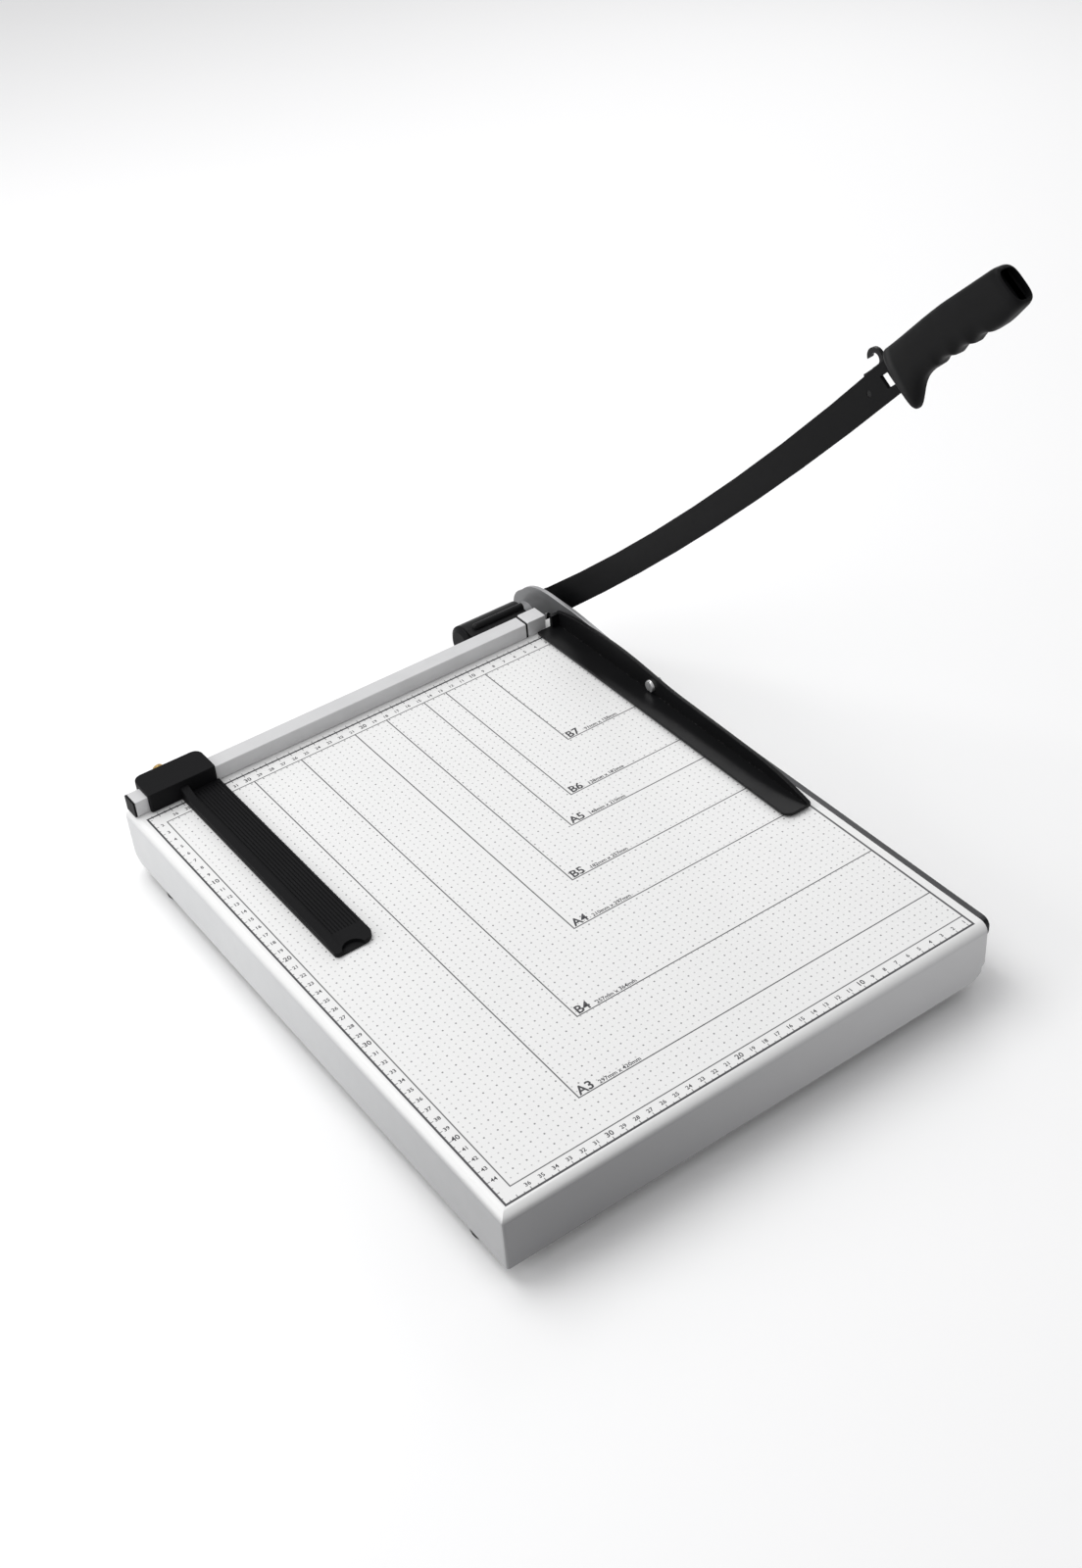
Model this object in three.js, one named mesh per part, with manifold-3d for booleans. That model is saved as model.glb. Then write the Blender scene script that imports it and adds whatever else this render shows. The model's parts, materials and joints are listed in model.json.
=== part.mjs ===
// Guillotine paper cutter: a pressed steel bed with a fixed knife on its right side, a curved blade arm
// pivoted behind the bed, a clamp shoe on its own lever, a fence with a sliding stop, and a safety hook.
// Millimetres. Working frame: x = 0 is the cutting edge (the bed lies on -x), y = 0 is the fence's front
// face (the bed runs towards -y), z = 0 is the bed's top. At the end the group is moved so that its origin is
// the bottom centre of the whole cutter, on the surface that it stands on.
import * as THREE from 'three';
import { mergeVertices } from 'three/addons/utils/BufferGeometryUtils.js';
import Module from 'manifold-3d';

const wasm = await Module();
wasm.setup();

// ---- driving dimensions ----

const bed = { width: 387, front: -467, rear: 16, skirt: 46, sheet: 1.6, foldRadius: 7, seamRadius: 2.5 };
bed.hemRadius = 14;                       // lower corners of the skirts
const seat = 0.15;                        // gap left between two pieces that are fastened together
const glide = 0.3;                        // gap between two pieces that move past each other
const bore = 0.06;                        // radial clearance of a shaft in its hole
const turning = 0.14;                     // the same for a shaft that turns in its hole

const knife = { thick: 4.4, height: 20, topRadius: 6, noseRadius: 11, short: 3 };
knife.front = bed.front + knife.short;
knife.rear = bed.rear - knife.short;
knife.inner = 0.2;
knife.outer = knife.inner + knife.thick;
const backing = { thick: 6, height: 13, drop: 3.5, margin: 12 };
const knifeScrew = { shank: 2.2, head: 4.3, count: 4, inset: 22, drop: 10, depth: 7 };

const fence = { inset: 4, right: -38, depth: 14, height: 13, wall: 1.6, capFlange: 1.5, plug: 8 };
fence.left = -bed.width + fence.inset;
const fenceBlock = { length: 17.5, height: 13.8, depth: 14.5, edge: 0.8 };
const fenceScrew = { shank: 2, head: 3.8, headHeight: 2.2, reach: 2.4 };

const stop = { inset: 10, length: 55, lip: 2.8, backDepth: 10, roof: 3, cornerRadius: 7, edge: 0.8 };
stop.left = fence.left + stop.inset;
const stopArm = { offset: 24.5, width: 31.5, length: 218, thick: 3.6, rail: 5.2, railWidth: 6.5 };
stopArm.noseRadius = 9;
stopArm.heelRadius = 3;
const rib = { count: 9, width: 0.9, depth: 0.6 };
const thumbDip = { width: 17, length: 8, depth: 2.5, inset: -1 };
const lockScrew = { fromLeft: 24, height: 7.5, shank: 2, knob: 5, knobLength: 6 };
lockScrew.knurl = { count: 20, depth: 0.35 };
const insert = { radius: 3.6, length: 7 };
const padPlate = { width: 12, height: 8, thick: 1.2 };

const pivot = { behindBed: 27, z: -13, radius: 5 };
pivot.y = bed.rear + pivot.behindBed;
const bracket = { left: -70, right: -16, tube: 15.5, ear: 6, springBore: 10.6, plate: 4, foot: -43 };
bracket.ridge = { radius: 3.2, inset: 9 };
const bracketScrew = { shank: 2.5, head: 4.8, headHeight: 3, nut: 4.6, nutHeight: 3.5, inset: 10, rise: 8 };
const bracketCap = { flange: 1.6, dome: 2.4, plug: 6 };

const shoe = { left: -29.5, right: -7.5, front: -303, rear: -2.6, flange: 2.4, pad: 1, frontRadius: 7 };
shoe.web = { left: -10.5, right: -7.5 };
shoe.gusset = { reach: 6.5, thick: 3, height: 11.5 };
shoe.rim = { rear: 15, crown: 23, crownAt: -78, tip: 5.2 };
shoe.rim.waist = 16.6;
shoe.rim.waistAt = -168;
shoe.rim.tail = 14.8;
shoe.rim.tailAt = -246;
const lever = { gap: 0.3, thick: 3.5, heel: 21.5, boss: 12, crown: 22.4, sole: 4.1, noseRadius: 5 };
const shoeScrew = { y: -125, z: 9.3, shank: 2.5, head: 5, headHeight: 2, slot: 1.3 };
shoeScrew.nut = 4;
shoeScrew.nutHeight = 1.8;

const openAngle = 42;                     // how far the arm stands above its closed position
const arm = { thick: 2.5, heel: 15, bevel: 4, land: 0.8 };
arm.top = { from: 26, fromRise: 12.2, to: 532, toRise: 15.9, sag: 10.4 };
arm.edge = { from: 50, fromRise: -12.6, to: 534, toRise: -5.8, sag: 7.8 };
arm.tang = { end: 644, low: -1.5, high: 15 };
arm.slot = { along: 530, low: 0.5, high: 9, width: 7.6, lean: 1.8 };
const pivotWasher = { radius: 11, thick: 1.5 };
const boltHead = { flats: 17, height: 6 };
const nut = { flats: 15, height: 6 };
const spring = { mean: 7.9, wire: 0.9, turns: 7, segments: 16, sides: 8 };

const handle = { thick: 16, edge: 0.9, crown: 6, from: 539, to: 660, split: 0.2, fit: 0.3 };
handle.spine = { from: 22.4, to: 25 };
handle.end = { tilt: 4, topRadius: 9, lowRadius: 8, low: -1.5, recess: 2.5, rim: 4.5 };
handle.guard = { tip: -18.6, at: 546, reach: 558 };
handle.scallop = { count: 3, low: -4.2, crest: 1.5, from: 580, pitch: 17.5 };
const handleScrew = { at: [574, 632], rise: 8, shank: 2, head: 3.8, sink: 3.4, depth: 10 };

const hook = { along: 508, rise: 4, thick: 2.5, wall: 3.4 };
hook.mouthAlong = 524;
hook.mouthRise = 19.8;
hook.mouthRadius = 3.6;
hook.hub = 6;
hook.gape = 2.4;                          // how far above the mouth's centre the crook's tip ends
hook.neck = { low: 9.8, high: 15.8 };
hook.rivet = { shank: 2, head: 3.6, headHeight: 1.2, places: [[508, 4]] };
const stud = { sleeve: 5, radius: 2.6, drop: 21.1, inset: 17, sleeveLength: 8.6, shoulder: 3.6 };
stud.y = bed.front + stud.inset;
stud.collar = { radius: 4.2, thick: 1.6 };
const link = { eye: 5, thick: 2, width: 5, pin: 2.2, droop: 8 };

const foot = { radius: 12, base: 10.5, height: 12, inset: 13.5, back: 28, fromFront: 42 };
foot.front = -bed.front - foot.fromFront;
foot.pocket = { radius: 4.8, depth: 8 };
const footPlate = { side: 30, thick: 1.6, leg: 18 };
const footScrew = { shank: 2, head: 3.9, headHeight: 2 };
const stiffener = { width: 32, depth: 12, sheet: 1.5, at: [-120, -335], margin: 9 };

// ---- finishes ----

function finish(color, roughness, metalness) {
  return new THREE.MeshStandardMaterial({ color, roughness, metalness });
}

const finishes = {
  paintedSteel: () => finish(0xe6e6e4, 0.45, 0.1),
  zincSteel: () => finish(0x9fa1a2, 0.4, 0.9),
  knifeSteel: () => finish(0x2e2f31, 0.35, 0.8),
  anodised: () => finish(0xdadada, 0.35, 0.6),
  blackPlastic: () => finish(0x1c1c1d, 0.5, 0),
  blackSteel: () => finish(0x131314, 0.35, 0.4),
  leverSteel: () => finish(0x77787a, 0.38, 0.7),
  chrome: () => finish(0xd6d8da, 0.15, 1),
  brass: () => finish(0xb08d4a, 0.3, 0.9),
  rubber: () => finish(0x181818, 0.85, 0),
  springSteel: () => finish(0x6f7276, 0.3, 0.9),
};

// ---- solids ----

function toSolid(geometry) {
  const plain = geometry.clone();
  plain.deleteAttribute('normal');
  plain.deleteAttribute('uv');
  const merged = mergeVertices(plain, 1e-4);
  const mesh = new wasm.Mesh({
    numProp: 3,
    vertProperties: new Float32Array(merged.attributes.position.array),
    triVerts: new Uint32Array(merged.index.array),
  });
  mesh.merge();
  return new wasm.Manifold(mesh);
}

function toGeometry(solid) {
  const mesh = solid.getMesh();
  const geometry = new THREE.BufferGeometry();
  geometry.setAttribute('position', new THREE.BufferAttribute(new Float32Array(mesh.vertProperties), 3));
  geometry.setIndex(new THREE.BufferAttribute(new Uint32Array(mesh.triVerts), 1));
  geometry.computeVertexNormals();
  return geometry;
}

const union = (...solids) => solids.reduce((sum, solid) => sum.add(solid));
const cut = (body, ...tools) => tools.reduce((rest, tool) => rest.subtract(tool), body);

function box(x, y, z) {
  const geometry = new THREE.BoxGeometry(x[1] - x[0], y[1] - y[0], z[1] - z[0]);
  geometry.translate((x[0] + x[1]) / 2, (y[0] + y[1]) / 2, (z[0] + z[1]) / 2);
  return toSolid(geometry);
}

// Round bars of radius r, tapering to r1, along an axis from one station to the next.
const facets = (r) => (r < 3.2 ? 12 : r < 7 ? 20 : 28);

function barX(r, [x0, x1], y, z, r1 = r, sides = facets(r)) {
  const geometry = new THREE.CylinderGeometry(r1, r, x1 - x0, sides);
  geometry.rotateZ(-Math.PI / 2).translate((x0 + x1) / 2, y, z);
  return toSolid(geometry);
}

function barY(r, [y0, y1], x, z, r1 = r, sides = facets(r)) {
  const geometry = new THREE.CylinderGeometry(r1, r, y1 - y0, sides);
  geometry.translate(x, (y0 + y1) / 2, z);
  return toSolid(geometry);
}

function barZ(r, [z0, z1], x, y, r1 = r, sides = facets(r)) {
  const geometry = new THREE.CylinderGeometry(r1, r, z1 - z0, sides);
  geometry.rotateX(Math.PI / 2).translate(x, y, (z0 + z1) / 2);
  return toSolid(geometry);
}

// Extrusions of an outline: drawn in (y, z) and run along x, or drawn in (x, y) and run up z.
function extrude(shape, depth, edge, smooth) {
  return new THREE.ExtrudeGeometry(shape, {
    depth: depth - 2 * edge,
    bevelEnabled: edge > 0,
    bevelSize: edge,
    bevelThickness: edge,
    bevelOffset: -edge,
    bevelSegments: smooth,
    curveSegments: 8,
  }).translate(0, 0, edge);
}

const swapToX = new THREE.Matrix4().makeBasis(
  new THREE.Vector3(0, 1, 0), new THREE.Vector3(0, 0, 1), new THREE.Vector3(1, 0, 0));

function plateX(shape, [x0, x1], edge = 0, smooth = 3) {
  return toSolid(extrude(shape, x1 - x0, edge, smooth).applyMatrix4(swapToX).translate(x0, 0, 0));
}

function plateZ(shape, [z0, z1], edge = 0, smooth = 3) {
  return toSolid(extrude(shape, z1 - z0, edge, smooth).translate(0, 0, z0));
}

function rectangle([u0, u1], [v0, v1], radii = 0) {
  const [r00, r10, r11, r01] = Array.isArray(radii) ? radii : [radii, radii, radii, radii];
  const shape = new THREE.Shape();
  shape.moveTo(u0 + r00, v0);
  shape.lineTo(u1 - r10, v0);
  if (r10) shape.absarc(u1 - r10, v0 + r10, r10, -Math.PI / 2, 0, false);
  shape.lineTo(u1, v1 - r11);
  if (r11) shape.absarc(u1 - r11, v1 - r11, r11, 0, Math.PI / 2, false);
  shape.lineTo(u0 + r01, v1);
  if (r01) shape.absarc(u0 + r01, v1 - r01, r01, Math.PI / 2, Math.PI, false);
  shape.lineTo(u0, v0 + r00);
  if (r00) shape.absarc(u0 + r00, v0 + r00, r00, Math.PI, 1.5 * Math.PI, false);
  return shape;
}

// A quadratic sweep from the pen's place to (u, v), bowed by sag at its middle (positive sag = lower v).
function bow(shape, u, v, sag) {
  const { x, y } = shape.currentPoint;
  shape.quadraticCurveTo((x + u) / 2, (y + v) / 2 - 2 * sag, u, v);
}

const at = (solid, x, y, z) => solid.translate([x, y, z]);
const hexSides = 6;
const acrossFlats = (flats) => flats / Math.sqrt(3);

// ---- the scene graph ----

const cutter = new THREE.Group();
cutter.name = 'paper_cutter';

const armGroup = new THREE.Group();
armGroup.position.set(0, pivot.y, pivot.z);
armGroup.rotation.x = -THREE.MathUtils.degToRad(openAngle);
cutter.add(armGroup);

function add(name, solid, material, parent = cutter) {
  const mesh = new THREE.Mesh(toGeometry(solid), material());
  mesh.name = name;
  mesh.material.name = name;
  parent.add(mesh);
}

// ---- bed: pressed pan, stiffeners, feet ----

const bedLeft = -bed.width;
const pastEdge = 30;

function pressing(inset) {
  // The pan's outside (inset 0) or inside: a block with rounded top folds, its right side cut off flat.
  const r = bed.foldRadius - inset;
  const x = [bedLeft + inset, pastEdge];
  const y = [bed.front + inset, bed.rear - inset];
  const z = [-bed.skirt - pastEdge, -inset];
  const folded = plateZ(rectangle(x, y), z, r, 5);
  const corners = plateZ(rectangle(x, y, bed.seamRadius - inset / 2), z);
  return folded.intersect(corners).intersect(box([bedLeft, -inset], y, [-bed.skirt - inset, -inset]));
}

// What is taken off the lower corner of a skirt: a square less the quarter round that stays.
function hemCut(u, v, inward) {
  const [u1, v1] = [u + inward * bed.hemRadius, v + bed.hemRadius];
  const shape = new THREE.Shape();
  shape.moveTo(u - inward, v - 1);
  shape.lineTo(u1, v - 1);
  shape.lineTo(u1, v);
  shape.absarc(u1, v1, bed.hemRadius, -Math.PI / 2, inward > 0 ? -Math.PI : 0, inward > 0);
  shape.lineTo(u - inward, v1);
  return shape;
}

const swapToY = new THREE.Matrix4().makeBasis(
  new THREE.Vector3(1, 0, 0), new THREE.Vector3(0, 0, 1), new THREE.Vector3(0, -1, 0));

function plateY(shape, [y0, y1]) {
  return toSolid(extrude(shape, y1 - y0, 0, 1).applyMatrix4(swapToY).translate(0, y1, 0));
}

const skirtCuts = [
  plateY(hemCut(0, -bed.skirt, -1), [bed.front - 1, bed.front + bed.sheet + 1]),
  plateX(hemCut(bed.front, -bed.skirt, 1), [-bed.sheet - 1, 1]),
  plateY(hemCut(0, -bed.skirt, -1), [bed.rear - bed.sheet - 1, bed.rear + 1]),
  plateX(hemCut(bed.rear, -bed.skirt, -1), [-bed.sheet - 1, 1]),
  plateY(hemCut(bedLeft, -bed.skirt, 1), [bed.rear - bed.sheet - 1, bed.rear + 1]),
  plateX(hemCut(bed.rear, -bed.skirt, -1), [bedLeft - 1, bedLeft + bed.sheet + 1]),
];

const knifeScrewPlaces = Array.from({ length: knifeScrew.count }, (_, i) =>
  knife.front + knifeScrew.inset
    + (i * (knife.rear - knife.front - 2 * knifeScrew.inset)) / (knifeScrew.count - 1));
const fenceScrewY = bed.rear - bed.foldRadius - fenceScrew.head - seat;   // its head clears the rear fold
const blockLeft = fence.right + fence.capFlange + 2 * seat;
const fenceScrewPlaces = [fence.left + 40, fence.right - 30, blockLeft + fenceBlock.length / 2];
const bracketScrewPlaces = [bracket.left + bracketScrew.inset, bracket.right - bracketScrew.inset];
const bracketScrewZ = bracket.foot + bracketScrew.rise;
const studZ = -stud.drop - stud.sleeve;

add('base_pan', cut(
  pressing(0).subtract(pressing(bed.sheet)), ...skirtCuts,
  ...knifeScrewPlaces.map((y) => barX(knifeScrew.shank + bore, [-9, 1], y, -knifeScrew.drop)),
  ...fenceScrewPlaces.map((x) => barZ(fenceScrew.shank + bore, [-3, 1], x, fenceScrewY)),
  ...bracketScrewPlaces.map((x) =>
    barY(bracketScrew.shank + bore, [bed.rear - 4, bed.rear + 1], x, bracketScrewZ)),
  barX(stud.radius + bore, [-4, 1], stud.y, studZ),
), finishes.paintedSteel);

stiffener.at.forEach((y, i) => {
  const half = stiffener.width / 2;
  const top = -bed.sheet - seat;
  const x = [bedLeft + stiffener.margin, -stiffener.margin - backing.thick];
  const z = [top - stiffener.depth, top];
  const hollow = [y - half + stiffener.sheet, y + half - stiffener.sheet];
  add(['bed_stiffener_rear', 'bed_stiffener_front'][i], cut(
    box(x, [y - half, y + half], z),
    box([x[0] - 1, x[1] + 1], hollow, [z[0] - 1, top - stiffener.sheet]),
  ), finishes.zincSteel);
});

const footPlaces = {
  rear_left: [bedLeft + foot.inset, -foot.back, -1, 1],
  front_left: [bedLeft + foot.inset, -foot.front, -1, -1],
  rear_right: [-foot.inset, -foot.back, 1, 1],
  front_right: [-foot.inset, -foot.front, 1, -1],
};
const footTop = -bed.skirt - seat;

Object.entries(footPlaces).forEach(([corner, [x, y, side]]) => {
  // An angle spot-welded to the skirt's inside, whose flat tab carries the foot.
  const wall = side < 0 ? bedLeft + bed.sheet + seat : -bed.sheet - seat;
  const tab = side < 0 ? [wall, wall + footPlate.side] : [wall - footPlate.side, wall];
  const leg = side < 0 ? [wall, wall + footPlate.thick] : [wall - footPlate.thick, wall];
  const across = [y - footPlate.side / 2, y + footPlate.side / 2];
  const z = [-bed.skirt, -bed.skirt + footPlate.thick];
  add(`foot_bracket_${corner}`, cut(
    union(box(tab, across, z), box(leg, across, [z[0], z[0] + footPlate.leg])),
    barZ(footScrew.shank + bore, [z[0] - 1, z[1] + 1], x, y),
  ), finishes.zincSteel);

  const profile = [[0, 0], [foot.base - 1, 0], [foot.base, 1], [foot.radius, foot.height - 1.2],
    [foot.radius - 0.4, foot.height], [0, foot.height]].map(([r, z]) => new THREE.Vector2(r, z));
  const rubber = toSolid(new THREE.LatheGeometry(profile, 24).rotateX(Math.PI / 2));
  add(`foot_${corner}`, cut(
    at(rubber, x, y, footTop - foot.height),
    barZ(foot.pocket.radius, [footTop - foot.height - 1, footTop - foot.height + foot.pocket.depth], x, y),
    barZ(footScrew.shank + bore, [footTop - foot.height, footTop + 1], x, y),
  ), finishes.rubber);

  const headTop = footTop - foot.height + foot.pocket.depth - seat;
  add(`foot_screw_${corner}`, cut(
    union(
      barZ(footScrew.head, [headTop - footScrew.headHeight, headTop], x, y),
      barZ(footScrew.shank, [headTop - 1, -bed.skirt + footPlate.thick + 4], x, y),
    ),
    box([x - 3, x + 3], [y - 0.5, y + 0.5], [headTop - footScrew.headHeight - 1, headTop - 1.1]),
    box([x - 0.5, x + 0.5], [y - 3, y + 3], [headTop - footScrew.headHeight - 1, headTop - 1.1]),
  ), finishes.zincSteel);
});

// ---- bed knife on the right side ----

const knifeOutline = rectangle([knife.front, knife.rear], [-knife.height, 0],
  [knife.noseRadius, 1, 1, knife.topRadius]);
const headDepth = knifeScrew.head - knifeScrew.shank;

// A countersunk screw lying along x, its head flush with the knife's outer face; grow opens its hole.
function knifeScrewSolid(y, grow) {
  const face = knife.outer - 0.15;
  const facetsRound = facets(knifeScrew.shank);
  const cone = barX(knifeScrew.shank + grow, [face - headDepth - 0.5, face], y, -knifeScrew.drop,
    knifeScrew.head + grow, facetsRound);
  const shank = barX(knifeScrew.shank + grow, [-bed.sheet - knifeScrew.depth - (grow ? 1 : 0), face - 1],
    y, -knifeScrew.drop);
  const rim = knifeScrew.head + grow;
  const mouth = barX(rim, [face, face + 1], y, -knifeScrew.drop, rim, facetsRound);
  return grow ? union(cone, shank, mouth) : union(cone, shank);
}

add('bed_knife', cut(
  plateX(knifeOutline, [knife.inner, knife.outer]),
  ...knifeScrewPlaces.map((y) => knifeScrewSolid(y, bore)),
), finishes.knifeSteel);

add('knife_backing_bar', cut(
  box([-bed.sheet - seat - backing.thick, -bed.sheet - seat],
    [knife.front + backing.margin, knife.rear - backing.margin],
    [-backing.drop - backing.height, -backing.drop]),
  ...knifeScrewPlaces.map((y) => knifeScrewSolid(y, bore)),
), finishes.zincSteel);

function slotAcross(y, x) {
  return box([x, x + 2], [y - 0.6, y + 0.6], [-knifeScrew.drop - 6, -knifeScrew.drop + 6]);
}

const knifeScrews = knifeScrewPlaces.map((y) =>
  cut(knifeScrewSolid(y, 0), slotAcross(y, knife.outer - 1.2)));
knifeScrews.forEach((screw, i) => add(`knife_screw_${i + 1}`, screw, finishes.zincSteel));

// ---- fence: hollow bar, end caps, end block ----

const fenceZ = [seat, fence.height];
const hollowY = [fence.wall, fence.depth - fence.wall];
const hollowZ = [fenceZ[0] + fence.wall, fenceZ[1] - fence.wall];
const fenceOutline = rectangle([0, fence.depth], fenceZ, 0.8);
const fenceScrewHole = (x) => barZ(fenceScrew.shank + bore, [-1, 4], x, fenceScrewY);

add('fence_bar', cut(
  plateX(fenceOutline, [fence.left, fence.right]),
  box([fence.left - 1, fence.right + 1], hollowY, hollowZ),
  ...fenceScrewPlaces.slice(0, 2).map(fenceScrewHole),
), finishes.anodised);

function endCap(end, outward) {
  const inner = end + outward * seat;
  const flange = [inner, inner + outward * fence.capFlange].sort((a, b) => a - b);
  const plug = [end - outward * fence.plug, inner + outward * 0.2].sort((a, b) => a - b);
  const gap = 0.1;
  return union(
    plateX(fenceOutline, flange),
    box(plug, [hollowY[0] + gap, hollowY[1] - gap], [hollowZ[0] + gap, hollowZ[1] - gap]),
  );
}

add('fence_left_cap', endCap(fence.left, -1), finishes.blackPlastic);
add('fence_right_cap', endCap(fence.right, 1), finishes.blackPlastic);

add('fence_end_block', cut(
  plateX(rectangle([0, fenceBlock.depth], [seat, fenceBlock.height]),
    [blockLeft, blockLeft + fenceBlock.length], fenceBlock.edge, 2),
  fenceScrewHole(fenceScrewPlaces[2]),
), finishes.anodised);

fenceScrewPlaces.forEach((x, i) => {
  const under = -bed.sheet - seat;
  add(`fence_screw_${i + 1}`, cut(
    union(
      barZ(fenceScrew.head, [under - fenceScrew.headHeight, under], x, fenceScrewY),
      barZ(fenceScrew.shank, [under - 1, fenceScrew.reach], x, fenceScrewY),
    ),
    box([x - 3, x + 3], [fenceScrewY - 0.5, fenceScrewY + 0.5],
      [under - fenceScrew.headHeight - 1, under - fenceScrew.headHeight + 0.9]),
  ), finishes.zincSteel);
});

// ---- sliding paper stop ----

const stopX = [stop.left, stop.left + stop.length];
const stopY = [-glide - stop.lip, fence.depth + glide + stop.backDepth];
const stopTop = fence.height + glide + stop.roof;
const armX = [stop.left + stopArm.offset, stop.left + stopArm.offset + stopArm.width];
const armY = [stopY[0] - stopArm.length, stopY[0] + 1];
const stopFoot = 0.4;
const lockX = stop.left + lockScrew.fromLeft;
const insertY = [stopY[1] - insert.length, stopY[1]];

const ribPitch = (stopArm.width - stopArm.railWidth - 2) / rib.count;
const ribGrooves = Array.from({ length: rib.count }, (_, i) => {
  const x = armX[0] + stopArm.railWidth + 1 + (i + 0.5) * ribPitch;
  return box([x - rib.width / 2, x + rib.width / 2],
    [armY[0] + stopArm.noseRadius + 10, stopY[0] - 4],
    [stopFoot + stopArm.thick - rib.depth, stopTop]);
});

// The rail along the arm's left side climbs to the head's front face in a short ramp.
const railOutline = new THREE.Shape([
  [armY[0] + stopArm.heelRadius, stopFoot], [armY[1], stopFoot], [armY[1], stopTop - 5],
  [stopY[0] - 2, stopTop - 6], [stopY[0] - 16, stopFoot + stopArm.rail],
  [armY[0] + 14, stopFoot + stopArm.rail],
  [armY[0] + stopArm.heelRadius, stopFoot + stopArm.thick - 0.5],
].map(([y, z]) => new THREE.Vector2(y, z)));

const dipOutline = new THREE.Shape();
dipOutline.absellipse(
  armX[0] + stopArm.width / 2 - 2, armY[0] + thumbDip.inset, thumbDip.width / 2, thumbDip.length,
  0, Math.PI, false);

add('stop_body', cut(
  union(
    plateZ(
      rectangle(stopX, stopY, [2, 2, stop.cornerRadius, stop.cornerRadius]), [stopFoot, stopTop], stop.edge, 2),
    plateZ(rectangle(armX, armY, [stopArm.heelRadius, stopArm.noseRadius, 0, 0]),
      [stopFoot, stopFoot + stopArm.thick], 0.5, 2),
    plateX(railOutline, [armX[0] + 0.4, armX[0] + stopArm.railWidth]),
  ),
  box([stopX[0] - 1, stopX[1] + 1], [-glide, fence.depth + glide], [-1, fence.height + glide]),
  barY(insert.radius + bore, [insertY[0] - 0.1, insertY[1] + 1], lockX, lockScrew.height),
  barY(lockScrew.shank + 0.4, [fence.depth, stopY[1]], lockX, lockScrew.height),
  box(
    [lockX - padPlate.width / 2 - 0.2, lockX + padPlate.width / 2 + 0.2],
    [fence.depth, fence.depth + glide + 1.5],
    [lockScrew.height - padPlate.height / 2 - 0.2, lockScrew.height + padPlate.height / 2 + 0.2]),
  plateZ(dipOutline, [stopFoot + stopArm.thick - thumbDip.depth, stopTop]),
  ...ribGrooves,
), finishes.blackPlastic);

add('stop_insert', cut(
  barY(insert.radius, insertY, lockX, lockScrew.height),
  barY(lockScrew.shank + turning, [insertY[0] - 1, insertY[1] + 1], lockX, lockScrew.height),
), finishes.brass);

const padY = [fence.depth + glide - 0.05, fence.depth + glide - 0.05 + padPlate.thick];
add('stop_pressure_plate', box(
  [lockX - padPlate.width / 2, lockX + padPlate.width / 2], padY,
  [lockScrew.height - padPlate.height / 2, lockScrew.height + padPlate.height / 2],
), finishes.springSteel);

const knobY = [stopY[1] + 1.5, stopY[1] + 1.5 + lockScrew.knobLength];
const knurls = Array.from({ length: lockScrew.knurl.count }, (_, i) => {
  const angle = (i * 2 * Math.PI) / lockScrew.knurl.count;
  return barY(lockScrew.knurl.depth, [knobY[0] - 1, knobY[1] + 1], lockX + lockScrew.knob * Math.cos(angle),
    lockScrew.height + lockScrew.knob * Math.sin(angle), lockScrew.knurl.depth, 4);
});
add('stop_lock_screw', cut(
  union(
    barY(lockScrew.knob, knobY, lockX, lockScrew.height),
    barY(lockScrew.shank, [padY[1] + 0.1, knobY[0] + 1], lockX, lockScrew.height),
  ),
  ...knurls,
), finishes.brass);

// ---- hinge bracket behind the bed, with the pivot bolt and its spring ----

const plateY0 = bed.rear + seat;
const bracketOutline = new THREE.Shape();
bracketOutline.moveTo(plateY0, bracket.foot);
bracketOutline.lineTo(plateY0 + bracket.plate, bracket.foot);
bracketOutline.lineTo(plateY0 + bracket.plate, pivot.z - 14);
bracketOutline.absarc(pivot.y, pivot.z, bracket.tube, -2.2, Math.PI * 0.62, false);
bracketOutline.lineTo(plateY0, -3);

const ridgeY = pivot.y - 5;
const ridgeZ = pivot.z + Math.sqrt(bracket.tube ** 2 - 25);
const ridgeX = [bracket.left + bracket.ridge.inset, bracket.right];
const springBoreX = [bracket.left - 1, bracket.right - bracket.ear];
const ridgeEnd = toSolid(new THREE.SphereGeometry(bracket.ridge.radius, 16, 12));

add('hinge_bracket', cut(
  union(
    plateX(bracketOutline, [bracket.left, bracket.right]),
    barX(bracket.ridge.radius, ridgeX, ridgeY, ridgeZ, bracket.ridge.radius, 16),
    at(ridgeEnd, ridgeX[0], ridgeY, ridgeZ),
  ),
  barX(bracket.springBore, springBoreX, pivot.y, pivot.z),
  barX(pivot.radius + bore, [bracket.right - bracket.ear - 1, bracket.right + 1], pivot.y, pivot.z),
  ...bracketScrewPlaces.map((x) =>
    barY(bracketScrew.shank + bore, [bed.rear, bed.rear + 8], x, bracketScrewZ)),
), finishes.blackSteel);

const capX = [bracket.left - seat - bracketCap.flange, bracket.left - seat];
add('bracket_cap', cut(
  union(
    barX(bracket.tube, capX, pivot.y, pivot.z),
    barX(bracket.tube - 4, [capX[0] - bracketCap.dome, capX[0]], pivot.y, pivot.z, bracket.tube),
    barX(bracket.springBore - 0.1, [capX[0], bracket.left + bracketCap.plug], pivot.y, pivot.z),
  ),
  barX(bracket.springBore - 1.8, [capX[1], bracket.left + bracketCap.plug + 1], pivot.y, pivot.z),
), finishes.blackPlastic);

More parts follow.
